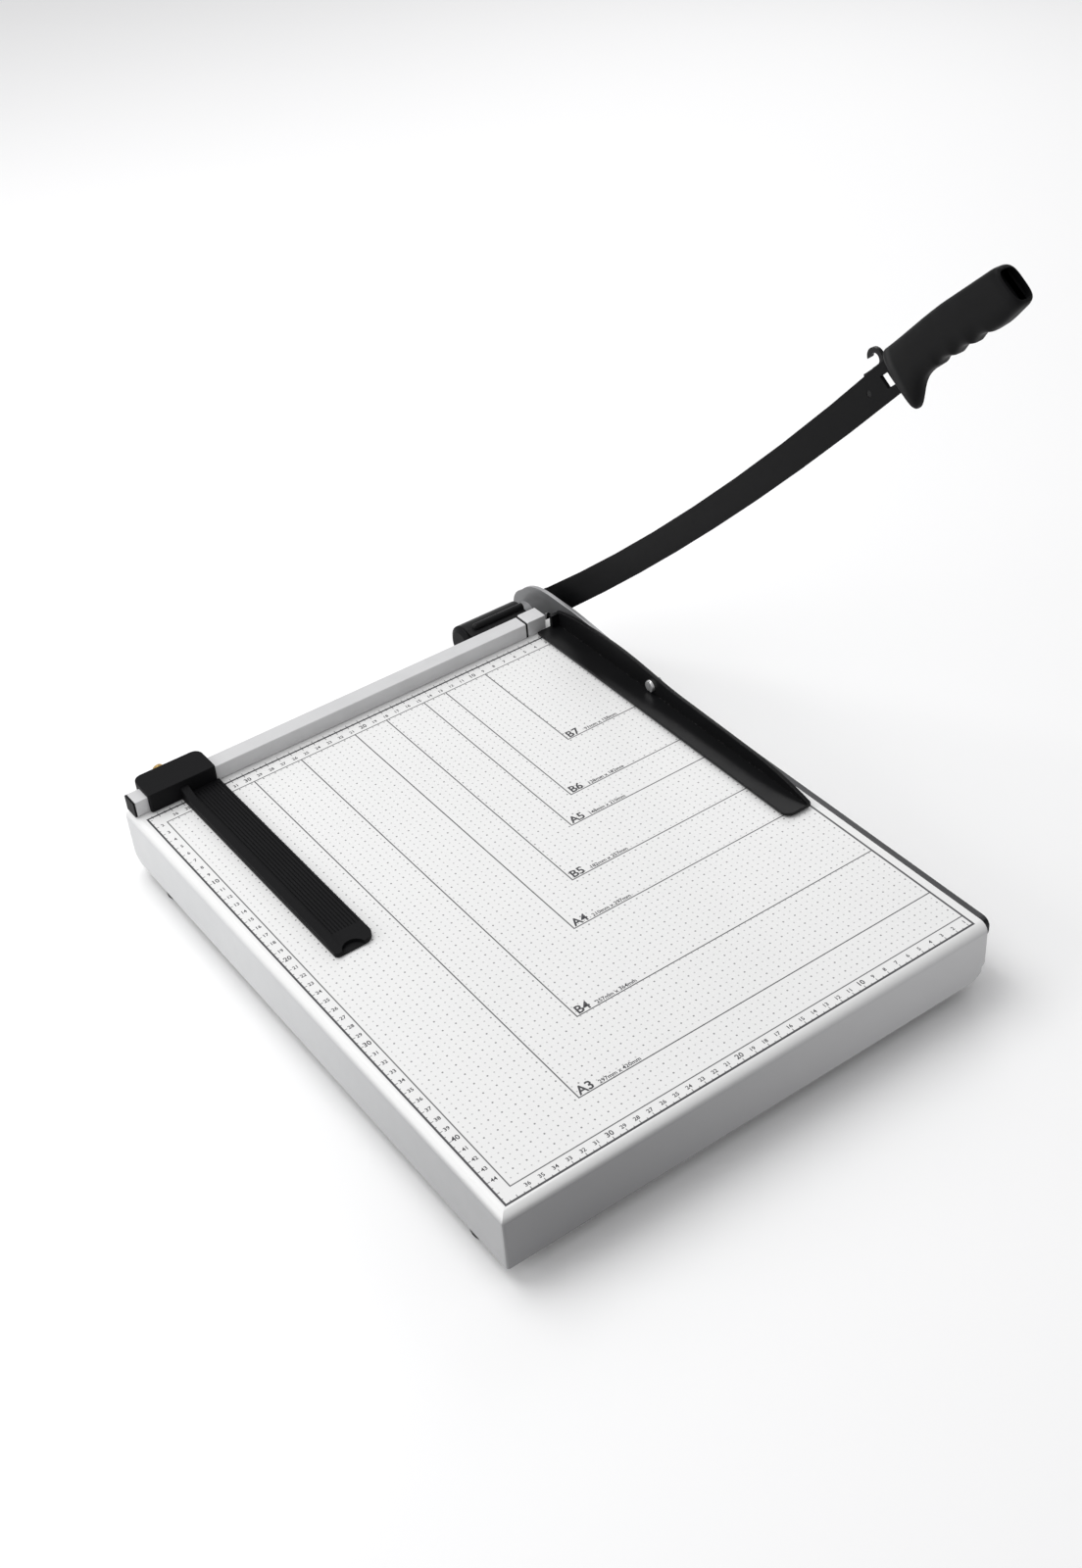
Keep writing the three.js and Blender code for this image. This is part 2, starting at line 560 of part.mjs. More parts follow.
bracketScrewPlaces.forEach((x, i) => {
  const face = plateY0 + bracket.plate + seat;
  const inside = bed.rear - bed.sheet - seat;
  add(`bracket_screw_${i + 1}`, union(
    barY(
      bracketScrew.head, [face, face + bracketScrew.headHeight], x, bracketScrewZ, bracketScrew.head, hexSides),
    barY(bracketScrew.shank, [inside - bracketScrew.nutHeight - 1.5, face + 1], x, bracketScrewZ),
  ), finishes.zincSteel);
  add(`bracket_nut_${i + 1}`, cut(
    barY(
      bracketScrew.nut, [inside - bracketScrew.nutHeight, inside], x, bracketScrewZ, bracketScrew.nut, hexSides),
    barY(bracketScrew.shank + bore, [inside - bracketScrew.nutHeight - 1, inside + 1], x, bracketScrewZ),
  ), finishes.zincSteel);
});

const armX0 = knife.outer + glide;
const armX1 = armX0 + arm.thick;
const leverX = [shoe.web.right + lever.gap, shoe.web.right + lever.gap + lever.thick];
const ring = (r, x) => cut(barX(r, x, pivot.y, pivot.z),
  barX(pivot.radius + bore, [x[0] - 1, x[1] + 1], pivot.y, pivot.z));

add('pivot_spacer', ring(10, [leverX[1] + glide, armX0 - glide]), finishes.zincSteel);

const outerWasherX = [armX1 + glide, armX1 + glide + pivotWasher.thick];
add('arm_washer', ring(pivotWasher.radius, outerWasherX), finishes.zincSteel);

const springX = [springBoreX[1] + 0.2, bracket.left + 21];
const innerWasherX = [springX[1] - pivotWasher.thick, springX[1]];
const nutX = [innerWasherX[0] - seat - nut.height, innerWasherX[0] - seat];
const boltX = [nutX[0] - 2, outerWasherX[1] + seat];

add('pivot_bolt', union(
  barX(pivot.radius, [boltX[0], boltX[1] + 1], pivot.y, pivot.z),
  barX(acrossFlats(boltHead.flats), [boltX[1], boltX[1] + boltHead.height], pivot.y, pivot.z,
    acrossFlats(boltHead.flats), hexSides),
), finishes.zincSteel);

add('spring_washer', ring(bracket.springBore - 0.8, innerWasherX), finishes.zincSteel);
add('pivot_nut', cut(
  barX(acrossFlats(nut.flats), nutX, pivot.y, pivot.z, acrossFlats(nut.flats), hexSides),
  barX(pivot.radius + bore, [nutX[0] - 1, nutX[1] + 1], pivot.y, pivot.z),
), finishes.zincSteel);

// The coil: rings of points round a helix about the pivot, closed by a flat disc at each end.
function coil([x0, x1]) {
  const rings = spring.turns * spring.segments;
  const points = [];
  const faces = [];
  const centre = (t) => new THREE.Vector3(
    x0 + (x1 - x0) * t,
    spring.mean * Math.cos(2 * Math.PI * spring.turns * t),
    spring.mean * Math.sin(2 * Math.PI * spring.turns * t));
  for (let i = 0; i <= rings; i += 1) {
    const t = i / rings;
    const out = centre(t).setX(0).normalize();
    const along = centre(t + 1e-4).sub(centre(t)).normalize();
    const side = new THREE.Vector3().crossVectors(along, out).normalize();
    for (let k = 0; k < spring.sides; k += 1) {
      const a = (2 * Math.PI * k) / spring.sides;
      points.push(centre(t).addScaledVector(out, spring.wire * Math.cos(a))
        .addScaledVector(side, spring.wire * Math.sin(a)));
    }
  }
  const id = (i, k) => i * spring.sides + (k % spring.sides);
  for (let i = 0; i < rings; i += 1) {
    for (let k = 0; k < spring.sides; k += 1) {
      faces.push(id(i, k), id(i + 1, k + 1), id(i + 1, k), id(i, k), id(i, k + 1), id(i + 1, k + 1));
    }
  }
  for (let k = 1; k < spring.sides - 1; k += 1) {
    faces.push(id(0, 0), id(0, k + 1), id(0, k), id(rings, 0), id(rings, k), id(rings, k + 1));
  }
  const geometry = new THREE.BufferGeometry().setFromPoints(points);
  geometry.setIndex(faces);
  return toSolid(geometry);
}

const coilX = [springX[1] + spring.wire + 0.2, springX[0] - spring.wire - 0.2];
add('pivot_spring', at(coil(coilX), 0, pivot.y, pivot.z),
  finishes.springSteel);

// ---- clamp: lever, shoe and its pad ----

const leverOutline = new THREE.Shape();
leverOutline.absarc(pivot.y, pivot.z, lever.heel, -2.5, 1.15, false);
leverOutline.bezierCurveTo(pivot.y - 4, pivot.z + 33, pivot.y - 20, lever.crown + 0.4, 4, lever.crown);
leverOutline.lineTo(-22, lever.crown);
leverOutline.bezierCurveTo(-45, lever.crown - 1, -80, shoeScrew.z + lever.noseRadius + 2,
  shoeScrew.y + 14, shoeScrew.z + lever.noseRadius);
leverOutline.lineTo(shoeScrew.y, shoeScrew.z + lever.noseRadius);
leverOutline.absarc(shoeScrew.y, shoeScrew.z, lever.noseRadius, Math.PI / 2, 1.5 * Math.PI, false);
leverOutline.lineTo(bed.rear - 4, lever.sole + 0.2);
leverOutline.quadraticCurveTo(bed.rear + 5, lever.sole, bed.rear + 8, pivot.z - 4);

add('clamp_lever', cut(
  union(
    plateX(leverOutline, leverX, 0.4, 1),
    barX(lever.boss, [bracket.right + glide, leverX[0] + 1], pivot.y, pivot.z),
  ),
  barX(pivot.radius + turning, [bracket.right, leverX[1] + 1], pivot.y, pivot.z),
  barX(shoeScrew.shank + bore, [leverX[0] - 1, leverX[1] + 1], shoeScrew.y, shoeScrew.z),
), finishes.leverSteel);

const padZ = [glide, glide + shoe.pad];
const flangeZ = [padZ[1] + 0.1, padZ[1] + 0.1 + shoe.flange];
const { rim } = shoe;
const webOutline = new THREE.Shape();
webOutline.moveTo(shoe.front, flangeZ[0] + 0.5);
webOutline.lineTo(shoe.rear - 0.5, flangeZ[0] + 0.5);
webOutline.lineTo(shoe.rear - 0.5, rim.rear);
webOutline.quadraticCurveTo(-30, rim.crown - 0.5, rim.crownAt, rim.crown);
webOutline.bezierCurveTo(
  rim.crownAt - 35, rim.crown, rim.waistAt + 35, rim.waist + 0.5, rim.waistAt, rim.waist);
webOutline.lineTo(rim.tailAt, rim.tail);
webOutline.quadraticCurveTo(rim.tailAt - 30, rim.tail - 2, shoe.front + 0.5, rim.tip);

const gussetOutline = new THREE.Shape([
  [shoe.web.left + 1, flangeZ[1] - 0.5], [shoe.web.left + 1, rim.rear - 0.4],
  [shoe.web.left - shoe.gusset.reach, flangeZ[1] + shoe.gusset.height - 0.5],
  [shoe.web.left - shoe.gusset.reach, flangeZ[1] - 0.5],
].map(([x, z]) => new THREE.Vector2(x, z)));

add('pressure_shoe', cut(
  union(
    plateZ(
      rectangle([shoe.left, shoe.right], [shoe.front, shoe.rear], [shoe.frontRadius, 2, 1, 1]), flangeZ, 0.5, 2),
    plateX(webOutline, [shoe.web.left, shoe.web.right], 0.5, 2),
    plateY(gussetOutline, [shoe.rear - 0.5 - shoe.gusset.thick, shoe.rear - 0.5]),
  ),
  barX(shoeScrew.shank + turning, [shoe.web.left - 1, shoe.web.right + 1], shoeScrew.y, shoeScrew.z),
), finishes.blackSteel);

add('shoe_pad', plateZ(rectangle([shoe.left + 1.5, shoe.right - 1], [shoe.front + 2, shoe.rear - 1],
  [shoe.frontRadius - 1.5, 1, 1, 1]), padZ), finishes.rubber);

const shoeHeadX = [shoe.web.left - seat - shoeScrew.headHeight, shoe.web.left - seat];
const shoeNutX = [leverX[1] + seat, leverX[1] + seat + shoeScrew.nutHeight];
add('shoe_screw', cut(
  union(
    barX(shoeScrew.head - 0.6, shoeHeadX, shoeScrew.y, shoeScrew.z, shoeScrew.head),
    barX(shoeScrew.shank, [shoeHeadX[1] - 0.5, shoeNutX[1] + 0.4], shoeScrew.y, shoeScrew.z),
  ),
  box(
    [shoeHeadX[0] - 1, shoeHeadX[0] + 1],
    [shoeScrew.y - shoeScrew.slot / 2, shoeScrew.y + shoeScrew.slot / 2],
    [shoeScrew.z - 7, shoeScrew.z + 7]),
), finishes.chrome);
add('shoe_nut', cut(
  barX(shoeScrew.nut, shoeNutX, shoeScrew.y, shoeScrew.z, shoeScrew.nut, hexSides),
  barX(shoeScrew.shank + bore, [shoeNutX[0] - 1, shoeNutX[1] + 1], shoeScrew.y, shoeScrew.z),
), finishes.zincSteel);

// ---- blade arm: drawn lying closed, with the pivot at the origin and the handle towards -y ----

const heelAngle = (along, rise) => Math.atan2(rise, -along);
const { top, edge, tang } = arm;

function armOutline() {
  const shape = new THREE.Shape();
  shape.absarc(0, 0, arm.heel, heelAngle(edge.from, edge.fromRise) - 2 * Math.PI + 0.9,
    heelAngle(top.from, top.fromRise) - 0.95, false);
  shape.lineTo(-top.from, top.fromRise);
  bow(shape, -top.to, top.toRise, top.sag);
  shape.lineTo(-(handle.from + 4), tang.high);
  shape.lineTo(-tang.end, tang.high);
  shape.lineTo(-tang.end, tang.low);
  shape.lineTo(-(handle.from + 6), tang.low);
  shape.lineTo(-edge.to, edge.toRise);
  bow(shape, -edge.from, edge.fromRise, edge.sag);
  return shape;
}

// Everything below the cutting edge, sheared so that it rises towards the outer face: it grinds the bevel.
function bevelTool() {
  const shape = new THREE.Shape();
  shape.moveTo(-edge.to, edge.toRise);
  bow(shape, -edge.from, edge.fromRise, edge.sag);
  shape.lineTo(-edge.from, -60);
  shape.lineTo(-edge.to, -60);
  const width = arm.thick - arm.land;
  const tool = extrude(shape, width + 1, 0, 1).applyMatrix4(swapToX);
  const lean = arm.bevel / width;
  tool.applyMatrix4(new THREE.Matrix4().set(1, 0, 0, 0, 0, 1, 0, 0, lean, 0, 1, 0, 0, 0, 0, 1));
  return toSolid(tool.translate(armX0 + arm.land, 0, 0));
}

const slotOutline = new THREE.Shape([
  [-arm.slot.along + arm.slot.width / 2, arm.slot.low],
  [-arm.slot.along + arm.slot.width / 2 + arm.slot.lean, arm.slot.high],
  [-arm.slot.along - arm.slot.width / 2 + arm.slot.lean, arm.slot.high],
  [-arm.slot.along - arm.slot.width / 2, arm.slot.low],
].map(([y, z]) => new THREE.Vector2(y, z)));

add('blade_arm', cut(
  plateX(armOutline(), [armX0, armX1]),
  bevelTool(),
  plateX(slotOutline, [armX0 - 1, armX1 + 1]),
  barX(pivot.radius + turning, [armX0 - 1, armX1 + 1], 0, 0),
  ...hook.rivet.places.map(([along, rise]) =>
    barX(hook.rivet.shank + bore, [armX0 - 1, armX1 + 1], -along, rise)),
  ...handleScrew.at.map((along) =>
    barX(handleScrew.shank + bore, [armX0 - 1, armX1 + 1], -along, handleScrew.rise)),
), finishes.blackSteel, armGroup);

// ---- handle: two shells over the tang, scalloped below, with a guard lobe at the front ----

const handleX = [(armX0 + armX1 - handle.thick) / 2, (armX0 + armX1 + handle.thick) / 2];
const middle = (armX0 + armX1) / 2;

function handleOutline(guarded) {
  const { spine, end, guard, scallop } = handle;
  const front = guarded ? handle.from : handle.from + 6;
  const shape = new THREE.Shape();
  shape.moveTo(-front, guarded ? -4 : -2);
  shape.quadraticCurveTo(-front + 2, spine.from - 2, -(front + 5), spine.from);
  shape.lineTo(-(handle.to - end.tilt - end.topRadius - 6), spine.to);
  shape.quadraticCurveTo(-(handle.to - end.tilt), spine.to, -(handle.to - 1), spine.to - end.topRadius - 4);
  shape.lineTo(-handle.to, end.low + end.lowRadius);
  shape.quadraticCurveTo(-handle.to, end.low, -(handle.to - end.lowRadius), end.low - 1.5);
  shape.lineTo(-(scallop.from + scallop.count * scallop.pitch), scallop.low);
  for (let i = scallop.count - 1; i >= 0; i -= 1) {
    bow(shape, -(scallop.from + i * scallop.pitch), scallop.low, -scallop.crest);
  }
  if (guarded) {
    shape.bezierCurveTo(
      -(guard.reach + 8), scallop.low - 1, -(guard.reach - 2), -9, -(guard.at + 4), guard.tip + 1);
    shape.quadraticCurveTo(-guard.at, guard.tip - 1.5, -(guard.at - 4), guard.tip + 1.5);
    shape.quadraticCurveTo(-(front + 2), -12, -front, -4);
  } else {
    shape.lineTo(-(front + 4), scallop.low);
    shape.quadraticCurveTo(-front, scallop.low, -front, -2);
  }
  return shape;
}

const tangPocket = plateX(
  rectangle([-tang.end - handle.fit, -handle.from + 8], [tang.low - handle.fit, tang.high + handle.fit]),
  [armX0 - handle.fit, armX1 + handle.fit]);
const neckPocket = plateX(
  rectangle([-(handle.from + 12), -handle.from + 8], [edge.toRise - 0.6, top.toRise + 0.8]),
  [armX0 - handle.fit, armX1 + handle.fit]);
const buttRecess = box([handleX[0] + handle.end.rim, handleX[1] - handle.end.rim],
  [-handle.to - 5, -handle.to + handle.end.recess],
  [handle.end.low + handle.end.rim, handle.spine.to - handle.end.rim - 3]);

const gripSection = plateY(
  rectangle(handleX, [handle.guard.tip - 2, handle.spine.to + 0.5], handle.crown),
  [-handle.to - 1, -handle.from + 1]);
const gripWhole = (guarded) => cut(
  plateX(handleOutline(guarded), handleX, handle.edge, 2).intersect(gripSection),
  tangPocket, neckPocket, buttRecess);
const gripSide = (x) => box(x, [-handle.to - 10, -handle.from + 20], [-60, 60]);

add('handle_left', cut(
  gripWhole(true).intersect(gripSide([handleX[0] - 1, middle - handle.split / 2])),
  ...handleScrew.at.map((along) =>
    barX(handleScrew.shank + bore, [middle - 4.5, middle + 1], -along, handleScrew.rise)),
), finishes.blackPlastic, armGroup);

add('handle_right', cut(
  gripWhole(false).intersect(gripSide([middle + handle.split / 2, handleX[1] + 1])),
  ...handleScrew.at.map((along) =>
    barX(handleScrew.shank + bore, [middle - 1, handleX[1] + 1], -along, handleScrew.rise)),
  ...handleScrew.at.map((along) =>
    barX(handleScrew.head + bore, [handleX[1] - handleScrew.sink, handleX[1] + 1], -along, handleScrew.rise)),
), finishes.blackPlastic, armGroup);

handleScrew.at.forEach((along, i) => {
  const under = handleX[1] - handleScrew.sink + seat;
  add(`handle_screw_${i + 1}`, cut(
    union(
      barX(handleScrew.head, [under, under + 2], -along, handleScrew.rise),
      barX(handleScrew.shank, [middle - 4.2, under + 1], -along, handleScrew.rise),
    ),
    box([under + 1, under + 3], [-along - 3, -along + 3], [handleScrew.rise - 0.5, handleScrew.rise + 0.5]),
    box([under + 1, under + 3], [-along - 0.5, -along + 0.5], [handleScrew.rise - 3, handleScrew.rise + 3]),
  ), finishes.zincSteel, armGroup);
});

// ---- safety hook riveted to the arm's outer face ----

const hookX = [armX1 + seat, armX1 + seat + hook.thick];
const crook = hook.mouthRadius + hook.wall;
const mouthPlace = [-hook.mouthAlong, hook.mouthRise];

// The neck runs along the arm's upper edge, and the crook curls from its front end back over the mouth.
const neckOutline = new THREE.Shape([
  [-hook.along + 5, hook.rise + 3], [-hook.along, hook.neck.high],
  [-hook.mouthAlong - crook + 1, hook.neck.high],
  [-hook.mouthAlong - crook + 1.5, hook.neck.low + 1], [-hook.mouthAlong - 3, hook.neck.low],
  [-hook.along - 7, hook.neck.low], [-hook.along - 5, hook.rise - 2],
].reverse().map(([y, z]) => new THREE.Vector2(y, z)));

add('safety_hook', cut(
  union(
    barX(hook.hub, hookX, -hook.along, hook.rise),
    plateX(neckOutline, hookX),
    barX(crook, hookX, ...mouthPlace),
  ),
  barX(hook.mouthRadius, [hookX[0] - 1, hookX[1] + 1], ...mouthPlace),
  box([hookX[0] - 1, hookX[1] + 1], [mouthPlace[0] + 1, mouthPlace[0] + crook + 2],
    [hook.neck.high + 0.3, hook.mouthRise + hook.gape]),
  ...hook.rivet.places.map(([along, rise]) =>
    barX(hook.rivet.shank + bore, [hookX[0] - 1, hookX[1] + 1], -along, rise)),
), finishes.blackSteel, armGroup);

hook.rivet.places.forEach(([along, rise], i) => add(`hook_rivet_${i + 1}`, union(
  barX(hook.rivet.shank, [armX0 + 0.2, hookX[1] + seat + 0.5], -along, rise),
  barX(hook.rivet.head, [hookX[1] + seat, hookX[1] + seat + hook.rivet.headHeight], -along, rise,
    hook.rivet.head - 1),
), finishes.zincSteel, armGroup));

// ---- arm stop: a stud with a rubber sleeve, and the lock link that swings on its outer end ----

const sleeveX = [seat, seat + stud.sleeveLength];
const linkX = [hookX[1] + glide + 0.4, hookX[1] + glide + 0.4 + link.thick];
const collarX = [linkX[1] + glide, linkX[1] + glide + stud.collar.thick];

add('stop_sleeve', cut(
  barX(stud.sleeve, sleeveX, stud.y, studZ),
  barX(stud.radius + bore, [sleeveX[0] - 1, sleeveX[1] + 1], stud.y, studZ),
), finishes.rubber);
add('stop_stud', union(
  barX(stud.radius, [-bed.sheet - 5, collarX[1]], stud.y, studZ),
  barX(stud.shoulder, [sleeveX[1] + seat, linkX[0] - glide], stud.y, studZ),
  barX(stud.collar.radius, collarX, stud.y, studZ),
), finishes.zincSteel);
add('stop_stud_nut', cut(
  barX(4.6, [-bed.sheet - seat - 3.5, -bed.sheet - seat], stud.y, studZ, 4.6, hexSides),
  barX(stud.radius + bore, [-bed.sheet - 6, -bed.sheet + 1], stud.y, studZ),
), finishes.zincSteel);

// The link reaches from the stud to the hook's mouth when the arm is closed; at rest it lies back and droops.
const closedMouth = { y: pivot.y - hook.mouthAlong, z: pivot.z + hook.mouthRise };
const linkReach = Math.hypot(closedMouth.y - stud.y, closedMouth.z - studZ);
const linkGroup = new THREE.Group();
linkGroup.position.set(0, stud.y, studZ);
linkGroup.rotation.x = -THREE.MathUtils.degToRad(link.droop);
cutter.add(linkGroup);

add('lock_link', cut(
  union(
    barX(link.eye, linkX, 0, 0),
    plateX(rectangle([0, linkReach + link.width / 2], [-link.width / 2, link.width / 2],
      [0, link.width / 2 - 0.1, link.width / 2 - 0.1, 0]), linkX),
    barX(link.pin, [armX1 + glide + 0.1, linkX[0] + 0.5], linkReach, 0),
  ),
  barX(stud.radius + turning, [linkX[0] - 1, linkX[1] + 1], 0, 0),
), finishes.springSteel, linkGroup);

// ---- origin: the bottom centre of everything as it stands with the arm raised ----

const extent = new THREE.Box3().setFromObject(cutter, true);
const centre = extent.getCenter(new THREE.Vector3());
cutter.position.set(-centre.x, -centre.y, -extent.min.z);

export default cutter;
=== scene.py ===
# Guillotine paper cutter: finishes, printed bed, moulded grip and a plain studio, round the fixed frame.
import json
import math

import bmesh
import bpy
import numpy as np
from mathutils import Matrix, Vector


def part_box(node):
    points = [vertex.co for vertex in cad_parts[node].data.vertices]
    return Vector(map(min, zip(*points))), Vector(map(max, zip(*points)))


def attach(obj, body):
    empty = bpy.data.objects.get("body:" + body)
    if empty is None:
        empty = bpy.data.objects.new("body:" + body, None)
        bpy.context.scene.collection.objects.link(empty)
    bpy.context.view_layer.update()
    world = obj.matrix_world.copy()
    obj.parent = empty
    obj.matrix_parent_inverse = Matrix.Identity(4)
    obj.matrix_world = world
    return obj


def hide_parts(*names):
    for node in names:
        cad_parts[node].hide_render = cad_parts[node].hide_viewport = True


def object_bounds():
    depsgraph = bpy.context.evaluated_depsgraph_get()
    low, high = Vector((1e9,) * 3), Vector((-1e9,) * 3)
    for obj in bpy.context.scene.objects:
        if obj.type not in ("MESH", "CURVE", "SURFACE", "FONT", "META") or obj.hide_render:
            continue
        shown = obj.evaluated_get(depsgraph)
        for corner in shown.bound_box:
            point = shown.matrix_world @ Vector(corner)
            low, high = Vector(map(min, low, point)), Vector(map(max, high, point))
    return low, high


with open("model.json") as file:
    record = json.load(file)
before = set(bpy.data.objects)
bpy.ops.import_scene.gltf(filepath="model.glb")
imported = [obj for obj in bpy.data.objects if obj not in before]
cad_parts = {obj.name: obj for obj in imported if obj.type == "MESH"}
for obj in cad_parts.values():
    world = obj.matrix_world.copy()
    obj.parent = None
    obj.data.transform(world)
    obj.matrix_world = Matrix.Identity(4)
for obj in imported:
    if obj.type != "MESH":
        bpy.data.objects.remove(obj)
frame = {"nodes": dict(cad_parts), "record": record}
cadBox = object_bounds()
nodes = frame["nodes"]
bodyOf = {node: body for body, held in frame["record"]["behaviour"]["bodies"].items() for node in held}
slotOf = {part["node"]: part["material_slot"] for part in frame["record"]["subparts"]}
mm = 0.001
print("frame loaded:", len(nodes), "nodes")

# Bed edges, in metres: the cutting edge is the bed's right side, the fence's front face is its rear stop.
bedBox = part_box("base_pan")
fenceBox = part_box("fence_bar")
cutX = bedBox[1].x
bedTop = bedBox[1].z
fenceY = fenceBox[0].y


def bench(x, y, z):
    # a place given in millimetres from the cutting edge, the fence's face and the bed's top
    return Vector((cutX + x * mm, fenceY + y * mm, bedTop + z * mm))


# Camera and studio.

cameraSetup = {"eye": (-757.90, -1126.03, 914.34), "aim": (-137.42, -157.97, 0), "roll": -4.8, "lens": 46.69}


def placeCamera(setup):
    data = bpy.data.cameras.new("camera")
    data.lens = setup["lens"]
    camera = bpy.data.objects.new("camera", data)
    bpy.context.scene.collection.objects.link(camera)
    eye = bench(*setup["eye"])
    back = (eye - bench(*setup["aim"])).normalized()
    side = Vector((0, 0, 1)).cross(back).normalized()
    up = back.cross(side)
    c, s = math.cos(math.radians(setup["roll"])), math.sin(math.radians(setup["roll"]))
    turn = Matrix((side * c + up * s, up * c - side * s, back)).transposed()
    camera.matrix_world = Matrix.Translation(eye) @ turn.to_4x4()
    bpy.context.scene.camera = camera


studio = {
    "floorSize": 14.0,
    "floorColour": (0.96, 0.96, 0.96),
    "worldColour": (0.99, 0.99, 1.0),
    "worldStrength": 0.55,
    # name: place in bench millimetres, size in metres, watts
    "lamps": {
        "overhead": ((-640, 620, 1900), 1.6, 26.0),
        "left": ((-2090, 400, 800), 1.2, 12.0),
        "rightFar": ((1300, 1070, 1100), 0.9, 5.0),
    },
    "aim": (-190, -225, 0),
}


def buildStudio(setup):
    half = setup["floorSize"] / 2
    level = cadBox[0].z
    mesh = bpy.data.meshes.new("floor")
    corners = [(-half, -half, level), (half, -half, level), (half, half, level), (-half, half, level)]
    mesh.from_pydata(corners, [], [(0, 1, 2, 3)])
    floor = bpy.data.objects.new("floor", mesh)
    bpy.context.scene.collection.objects.link(floor)
    mesh.materials.append(floorFinish(setup["floorColour"]))

    world = bpy.data.worlds.new("studio")
    world.use_nodes = True
    background = world.node_tree.nodes["Background"]
    background.inputs["Color"].default_value = (*setup["worldColour"], 1)
    background.inputs["Strength"].default_value = setup["worldStrength"]
    bpy.context.scene.world = world

    for name, (place, size, watts) in setup["lamps"].items():
        data = bpy.data.lights.new(name, "AREA")
        data.size = size
        data.energy = watts
        lamp = bpy.data.objects.new(name, data)
        bpy.context.scene.collection.objects.link(lamp)
        lamp.location = bench(*place)
        away = bench(*setup["aim"]) - bench(*place)
        lamp.rotation_euler = away.to_track_quat("-Z", "Y").to_euler()
    bpy.context.scene.view_settings.view_transform = "Standard"
    bpy.context.scene.view_settings.look = "None"


# Shader writing.

class Value:
    """A number socket: arithmetic on it adds Math nodes."""

    def __init__(self, shader, socket):
        self.shader = shader
        self.socket = socket

    def maths(self, operation, *others):
        return self.shader.math(operation, self, *others)

    def __add__(self, other):
        return self.maths("ADD", other)

    def __sub__(self, other):
        return self.maths("SUBTRACT", other)

    def __rsub__(self, other):
        return self.shader.math("SUBTRACT", other, self)

    def __mul__(self, other):
        return self.maths("MULTIPLY", other)

    def __truediv__(self, other):
        return self.maths("DIVIDE", other)

    def __neg__(self):
        return self.maths("MULTIPLY", -1.0)

    def __abs__(self):
        return self.maths("ABSOLUTE")

    __radd__ = __add__
    __rmul__ = __mul__

    def most(self, other):
        return self.maths("MAXIMUM", other)

    def rise(self, start, end):
        # 0 before start, 1 after end, smooth between them
        return self.shader.add("MapRange", {"interpolation_type": "SMOOTHSTEP"},
                               {"Value": self, "From Min": start, "From Max": end})

    def within(self, halfWidth, soft):
        # 1 where the value is nearer 0 than halfWidth, with a soft edge
        return 1 - abs(self).rise(halfWidth - soft, halfWidth + soft)


class Finish:
    """One material: its node tree and the calls that write it."""

    def __init__(self, name):
        self.material = bpy.data.materials.new(name)
        self.material.use_nodes = True
        self.tree = self.material.node_tree
        self.surface = self.tree.nodes["Principled BSDF"]
        self.coords = self.tree.nodes.new("ShaderNodeTexCoord")

    def feed(self, socket, value):
        if isinstance(value, Value):
            self.tree.links.new(value.socket, socket)
        elif isinstance(value, (tuple, list)) and len(value) == 3 and socket.type == "RGBA":
            socket.default_value = (*value, 1)
        else:
            socket.default_value = value

    def add(self, kind, settings=None, values=None, out=0):
        node = self.tree.nodes.new("ShaderNode" + kind)
        for key, value in (settings or {}).items():
            setattr(node, key, value)
        for key, value in (values or {}).items():
            self.feed(node.inputs[key], value)
        return Value(self, node.outputs[out])

    def math(self, operation, *values):
        return self.add("Math", {"operation": operation}, dict(enumerate(values)))

    def place(self, stretch=(1, 1, 1)):
        # Object coordinates, stretched along each axis
        here = Value(self, self.coords.outputs["Object"])
        return self.add("VectorMath", {"operation": "MULTIPLY"}, {0: here, 1: stretch})

    def axes(self):
        # Object coordinates as three numbers: millimetres from the cutting edge, the fence and the bed's top
        node = self.tree.nodes.new("ShaderNodeSeparateXYZ")
        self.tree.links.new(self.coords.outputs["Object"], node.inputs[0])
        return [Value(self, out) * 1000 - start * 1000
                for out, start in zip(node.outputs, (cutX, fenceY, bedTop))]

    def facing(self, direction):
        # cosine between the surface's own normal and a direction
        normal = Value(self, self.coords.outputs["Normal"])
        return self.add("VectorMath", {"operation": "DOT_PRODUCT"}, {0: normal, 1: direction}, out="Value")

    def noise(self, scale, detail=3, stretch=(1, 1, 1), rough=0.55):
        # soft random variation, 0 to 1, scale in features per metre
        return self.add("TexNoise", None, {"Vector": self.place(stretch), "Scale": scale,
                                           "Detail": detail, "Roughness": rough})

    def mix(self, factor, first, second):
        node = self.tree.nodes.new("ShaderNodeMix")
        node.data_type = "RGBA"
        for key, value in ((0, factor), (6, first), (7, second)):
            self.feed(node.inputs[key], value)
        return Value(self, node.outputs[2])

    def bump(self, height, depth, strength=1.0):
        return self.add("Bump", None, {"Height": height, "Distance": depth, "Strength": strength})

    def set(self, **sockets):
        for key, value in sockets.items():
            self.feed(self.surface.inputs[key.replace("_", " ")], value)
        return self.material

    def edges(self, radius):
        # 1 on worn outer edges: where a bevelled normal parts from the true one
        bevel = self.add("Bevel", {"samples": 4}, {"Radius": radius})
        flat = Value(self, self.tree.nodes.new("ShaderNodeNewGeometry").outputs["Normal"])
        along = self.add("VectorMath", {"operation": "DOT_PRODUCT"}, {0: bevel, 1: flat}, out="Value")
        return (1 - along).rise(0.02, 0.2)


